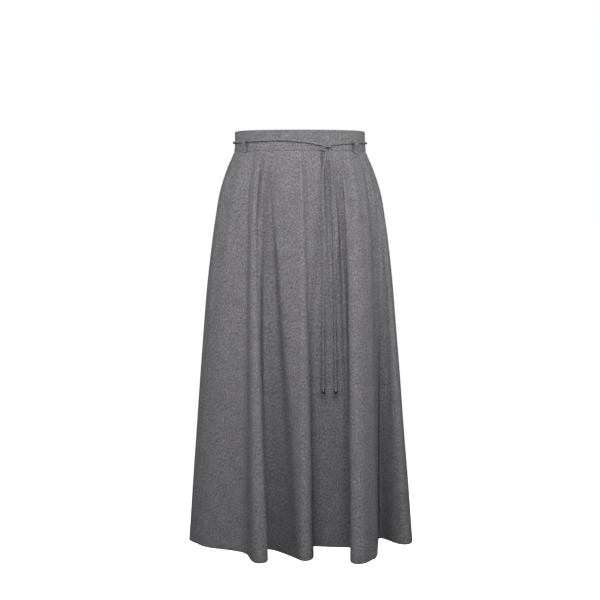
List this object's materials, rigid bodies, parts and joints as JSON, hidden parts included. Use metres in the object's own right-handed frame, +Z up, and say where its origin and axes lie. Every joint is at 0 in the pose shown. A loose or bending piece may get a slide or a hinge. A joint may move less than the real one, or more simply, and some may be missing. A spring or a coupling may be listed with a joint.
{
  "type": "flared maxi skirt",
  "caption": "Long flared skirt in grey wool flannel, worn form, with a plain waistband, belt loops, a thin tie cord with metal ends and a concealed side zip.",
  "frame": {"origin": "middle of the waist, half-way down the waistband", "axes": "+Z up, -Y to the front, +X to the right of someone who looks at the front"},
  "size_m": [0.4783, 0.3993, 0.87],
  "materials": {
    "flannel": "brushed grey melange twill",
    "metal": "polished dark nickel"
  },
  "bodies": {
    "skirt": {"skirt_front": "flannel", "skirt_back": "flannel", "waistband_front": "flannel", "waistband_back": "flannel", "belt_loop_front_left": "flannel", "belt_loop_front_right": "flannel", "belt_loop_back_right": "flannel", "belt_loop_back_left": "flannel", "tie_round": "flannel", "tie_knot": "flannel", "tie_tail_left": "flannel", "tie_tail_right": "flannel", "tie_tip_left": "metal", "tie_tip_right": "metal", "zip_slider": "metal"},
    "zip_pull": {"zip_pull": "metal"}
  },
  "joints": [
    {"name": "zip_pull_swing", "type": "hinge", "parent": "skirt", "child": "zip_pull", "pos_m": [0.13065, 0.03628, 0.0148], "axis": [0.4366, -0.8997, 0], "range_deg": [0, 150]}
  ]
}
